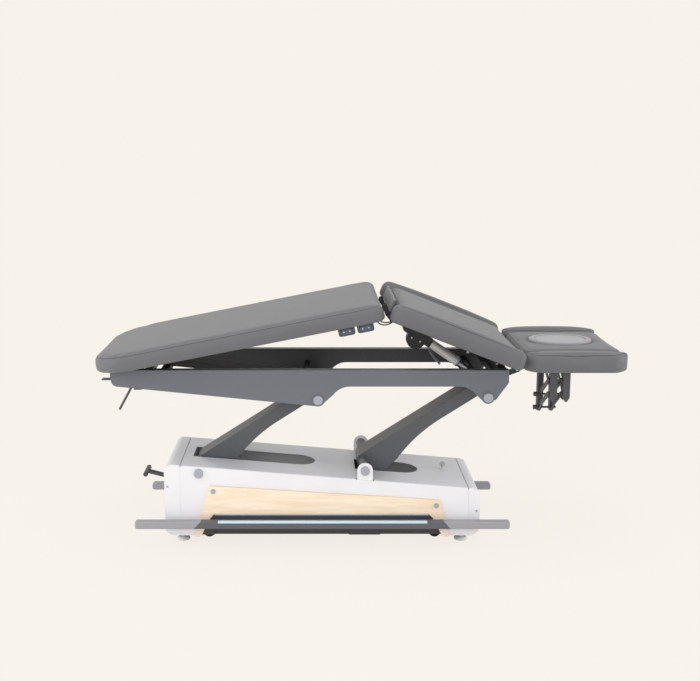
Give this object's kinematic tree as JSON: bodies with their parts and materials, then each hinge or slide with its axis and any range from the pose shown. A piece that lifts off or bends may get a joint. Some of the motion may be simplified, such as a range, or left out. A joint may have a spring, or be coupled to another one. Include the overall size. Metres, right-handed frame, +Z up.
{
  "type": "treatment table",
  "caption": "Height-adjustable treatment table with a motor-driven roof position, tilting head section with face hole, lowering armrests and a covered base on retractable castors",
  "frame": {"origin": "on the floor under the middle of the table's length and width", "axes": "+X runs from the foot end to the head end, +Y to the far side as pictured, +Z up"},
  "size_m": [2.002, 0.7, 0.9692],
  "materials": {
    "dark_steel": "satin powder coat",
    "white_plastic": "satin white shell",
    "birch": "pale birch plywood, matt lacquer",
    "diffuser": "frosted light strip",
    "screws": "turned",
    "axle_steel": "turned and plated",
    "cap_alloy": "silver-grey cap",
    "foot_plastic": "white moulded",
    "black_plastic": "fine texture",
    "lock_metal": "plated",
    "bar_paint": "dark grey with light grey ends",
    "wheel_rubber": "smooth tread",
    "arm_paint": "grey powder coat",
    "frame_paint": "grey powder coat",
    "roller_nylon": "smooth nylon",
    "upholstery": "grey artificial leather, fine grain",
    "board_black": "black laminate",
    "pod_plastic": "blue-grey moulded",
    "cable_black": "smooth sheath",
    "plug_foam": "light grey artificial leather"
  },
  "bodies": {
    "base": {"chassis": "dark_steel", "base_cover": "white_plastic", "foot_end_cover": "white_plastic", "head_end_cover": "white_plastic", "wood_panels": "birch", "light_strips": "diffuser", "base_screws": "screws", "base_axles": "axle_steel", "base_axle_caps": "cap_alloy", "height_feet": "foot_plastic", "control_box": "black_plastic"},
    "key_lock": {"key_switch": "lock_metal", "key": "lock_metal"},
    "lift_motor_unit": {"lift_motor": "black_plastic"},
    "lift_rod_unit": {"lift_rod": "axle_steel"},
    "near_foot_bar": {"foot_bar_near": "bar_paint"},
    "far_foot_bar": {"foot_bar_far": "bar_paint"},
    "pedal_frame": {"castor_pedal": "dark_steel"},
    "lever_frame": {"castor_lever": "dark_steel"},
    "link_bar": {"castor_link_bar": "axle_steel"},
    "wheel_1": {"castor_wheel_1": "wheel_rubber"},
    "wheel_2": {"castor_wheel_2": "wheel_rubber"},
    "wheel_3": {"castor_wheel_3": "wheel_rubber"},
    "wheel_4": {"castor_wheel_4": "wheel_rubber"},
    "head_end_arm": {"head_arm": "arm_paint"},
    "foot_end_arm": {"foot_arm": "arm_paint"},
    "upper_frame": {"side_plates": "frame_paint", "cross_members": "dark_steel", "upper_axles": "axle_steel", "upper_axle_caps": "cap_alloy", "frame_braces": "dark_steel", "slide_rails": "dark_steel"},
    "release": {"release_lever": "dark_steel"},
    "back_section": {"back_pad": "upholstery", "back_bolsters": "upholstery", "back_board": "board_black", "back_subframe": "dark_steel"},
    "leg_section": {"leg_cushion": "upholstery", "leg_board": "board_black", "leg_subframe": "dark_steel", "switch_pods": "pod_plastic", "peak_cables": "cable_black"},
    "roller_axle": {"leg_rollers": "roller_nylon"},
    "foot_rocker": {"rocker_foot": "pod_plastic"},
    "head_rocker": {"rocker_head": "pod_plastic"},
    "back_motor_unit": {"back_motor": "black_plastic", "cable_conduit": "cable_black"},
    "back_rod_unit": {"back_rod": "axle_steel"},
    "head_section": {"head_pad": "upholstery", "head_board": "board_black", "head_subframe": "dark_steel"},
    "plug": {"face_plug": "plug_foam"},
    "near_armrest": {"armrest_near": "upholstery", "bracket_near": "dark_steel"},
    "far_armrest": {"armrest_far": "upholstery", "bracket_far": "dark_steel"},
    "near_lower_link": {"link_near_lower": "dark_steel"},
    "near_upper_link": {"link_near_upper": "dark_steel"},
    "far_lower_link": {"link_far_lower": "dark_steel"},
    "far_upper_link": {"link_far_upper": "dark_steel"}
  },
  "joints": [
    {"name": "lift", "type": "hinge", "parent": "base", "child": "head_end_arm", "pos_m": [0.0255, 0, 0.303], "axis": [0, -1, 0], "range_deg": [-24, 30]},
    {"name": "foot_arm_swing", "type": "hinge", "parent": "base", "child": "foot_end_arm", "pos_m": [-0.6165, 0, 0.293], "axis": [0, -1, 0], "range_deg": [-24, 30]},
    {"name": "frame_level", "type": "hinge", "parent": "head_end_arm", "child": "upper_frame", "pos_m": [0.48613, 0, 0.59986], "axis": [0, -1, 0], "range_deg": [-30, 24]},
    {"name": "lift_motor_swing", "type": "hinge", "parent": "base", "child": "lift_motor_unit", "pos_m": [-0.4695, 0, 0.138], "axis": [0, -1, 0], "range_deg": [-0.4, 0.5]},
    {"name": "lift_rod_swing", "type": "hinge", "parent": "head_end_arm", "child": "lift_rod_unit", "pos_m": [0.04384, 0, 0.23392], "axis": [0, -1, 0], "range_deg": [-29.6, 23.7]},
    {"name": "back_tilt", "type": "hinge", "parent": "upper_frame", "child": "back_section", "pos_m": [0.59613, 0, 0.70586], "axis": [0, 1, 0], "range_deg": [-21.4, 0]},
    {"name": "leg_fold", "type": "hinge", "parent": "back_section", "child": "leg_section", "pos_m": [0.09819, 0, 0.92892], "axis": [0, 1, 0], "range_deg": [0, 32.75]},
    {"name": "roller_spin", "type": "hinge", "parent": "leg_section", "child": "roller_axle", "pos_m": [-0.88323, 0, 0.68086], "axis": [0, 1, 0], "continuous": true},
    {"name": "back_motor_swing", "type": "hinge", "parent": "back_section", "child": "back_motor_unit", "pos_m": [0.19564, 0, 0.82951], "axis": [0, 1, 0], "range_deg": [-8.6, 0]},
    {"name": "back_rod_swing", "type": "hinge", "parent": "upper_frame", "child": "back_rod_unit", "pos_m": [0.45013, 0, 0.65486], "axis": [0, 1, 0], "range_deg": [-29.9, 0]},
    {"name": "head_tilt", "type": "hinge", "parent": "upper_frame", "child": "head_section", "pos_m": [0.59613, 0, 0.70586], "axis": [0, -1, 0], "range_deg": [-25, 4]},
    {"name": "near_armrest", "type": "hinge", "parent": "head_section", "child": "near_lower_link", "pos_m": [0.7065, -0.11, 0.534], "axis": [1, 0, 0], "range_deg": [0, 62]},
    {"name": "near_armrest_upper_link", "type": "hinge", "parent": "head_section", "child": "near_upper_link", "pos_m": [0.7065, -0.11, 0.586], "axis": [1, 0, 0], "range_deg": [0, 62]},
    {"name": "near_armrest_level", "type": "hinge", "parent": "near_lower_link", "child": "near_armrest", "pos_m": [0.7065, -0.27, 0.625], "axis": [1, 0, 0], "range_deg": [-62, 0]},
    {"name": "far_armrest", "type": "hinge", "parent": "head_section", "child": "far_lower_link", "pos_m": [0.8065, 0.11, 0.534], "axis": [-1, 0, 0], "range_deg": [0, 62]},
    {"name": "far_armrest_upper_link", "type": "hinge", "parent": "head_section", "child": "far_upper_link", "pos_m": [0.8065, 0.11, 0.586], "axis": [-1, 0, 0], "range_deg": [0, 62]},
    {"name": "far_armrest_level", "type": "hinge", "parent": "far_lower_link", "child": "far_armrest", "pos_m": [0.8065, 0.27, 0.625], "axis": [-1, 0, 0], "range_deg": [-62, 0]},
    {"name": "plug_lift", "type": "slide", "parent": "head_section", "child": "plug", "axis": [0, 0, 1], "range_m": [0, 0.12]},
    {"name": "near_bar_press", "type": "slide", "parent": "base", "child": "near_foot_bar", "axis": [0, 0, -1], "range_m": [0, 0.006], "stiffness_N_per_m": 12000, "springref_m": -0.004},
    {"name": "far_bar_press", "type": "slide", "parent": "base", "child": "far_foot_bar", "axis": [0, 0, -1], "range_m": [0, 0.006], "stiffness_N_per_m": 12000, "springref_m": -0.004},
    {"name": "pedal_press", "type": "hinge", "parent": "base", "child": "pedal_frame", "pos_m": [-0.5195, 0, 0.084], "axis": [0, -1, 0], "range_deg": [0, 10]},
    {"name": "lever_press", "type": "hinge", "parent": "base", "child": "lever_frame", "pos_m": [0.2405, 0, 0.084], "axis": [0, 1, 0], "range_deg": [0, 10]},
    {"name": "link_bar_shift", "type": "slide", "parent": "base", "child": "link_bar", "axis": [-1, 0, 0], "range_m": [0, 0.0062]},
    {"name": "wheel_1_spin", "type": "hinge", "parent": "pedal_frame", "child": "wheel_1", "pos_m": [-0.5855, -0.12, 0.032], "axis": [0, 1, 0], "continuous": true},
    {"name": "wheel_2_spin", "type": "hinge", "parent": "pedal_frame", "child": "wheel_2", "pos_m": [-0.5855, 0.12, 0.032], "axis": [0, 1, 0], "continuous": true},
    {"name": "wheel_3_spin", "type": "hinge", "parent": "lever_frame", "child": "wheel_3", "pos_m": [0.3065, -0.12, 0.032], "axis": [0, 1, 0], "continuous": true},
    {"name": "wheel_4_spin", "type": "hinge", "parent": "lever_frame", "child": "wheel_4", "pos_m": [0.3065, 0.12, 0.032], "axis": [0, 1, 0], "continuous": true},
    {"name": "release_pull", "type": "hinge", "parent": "upper_frame", "child": "release", "pos_m": [-0.8615, -0.17, 0.64], "axis": [0, 1, 0], "range_deg": [0, 18], "stiffness_Nm_per_rad": 0.5},
    {"name": "foot_rocker_tip", "type": "hinge", "parent": "leg_section", "child": "foot_rocker", "pos_m": [-0.05205, -0.318, 0.86933], "axis": [-0.1959, 0, 0.9806], "range_deg": [-6, 6], "stiffness_Nm_per_rad": 0.3},
    {"name": "head_rocker_tip", "type": "hinge", "parent": "leg_section", "child": "head_rocker", "pos_m": [0.01659, -0.318, 0.88305], "axis": [-0.1959, 0, 0.9806], "range_deg": [-6, 6], "stiffness_Nm_per_rad": 0.3},
    {"name": "key_turn", "type": "hinge", "parent": "base", "child": "key_lock", "pos_m": [0.3475, 0.03, 0.2413], "axis": [0.0812, 0, 0.9967], "range_deg": [0, 90]}
  ],
  "couplings": [
    {"joint": "foot_arm_swing", "follows": "lift", "ratio": 1},
    {"joint": "frame_level", "follows": "lift", "ratio": -1},
    {"joint": "lift_motor_swing", "follows": "lift", "ratio": 0.016},
    {"joint": "lift_rod_swing", "follows": "lift", "ratio": -0.984},
    {"joint": "leg_fold", "follows": "back_tilt", "ratio": -1.5279},
    {"joint": "back_motor_swing", "follows": "back_tilt", "ratio": 0.396},
    {"joint": "back_rod_swing", "follows": "back_tilt", "ratio": 1.392},
    {"joint": "lever_press", "follows": "pedal_press", "ratio": 1},
    {"joint": "link_bar_shift", "follows": "pedal_press", "m_per_rad": 0.034},
    {"joint": "near_armrest_upper_link", "follows": "near_armrest", "ratio": 1},
    {"joint": "near_armrest_level", "follows": "near_armrest", "ratio": -1},
    {"joint": "far_armrest_upper_link", "follows": "far_armrest", "ratio": 1},
    {"joint": "far_armrest_level", "follows": "far_armrest", "ratio": -1}
  ]
}
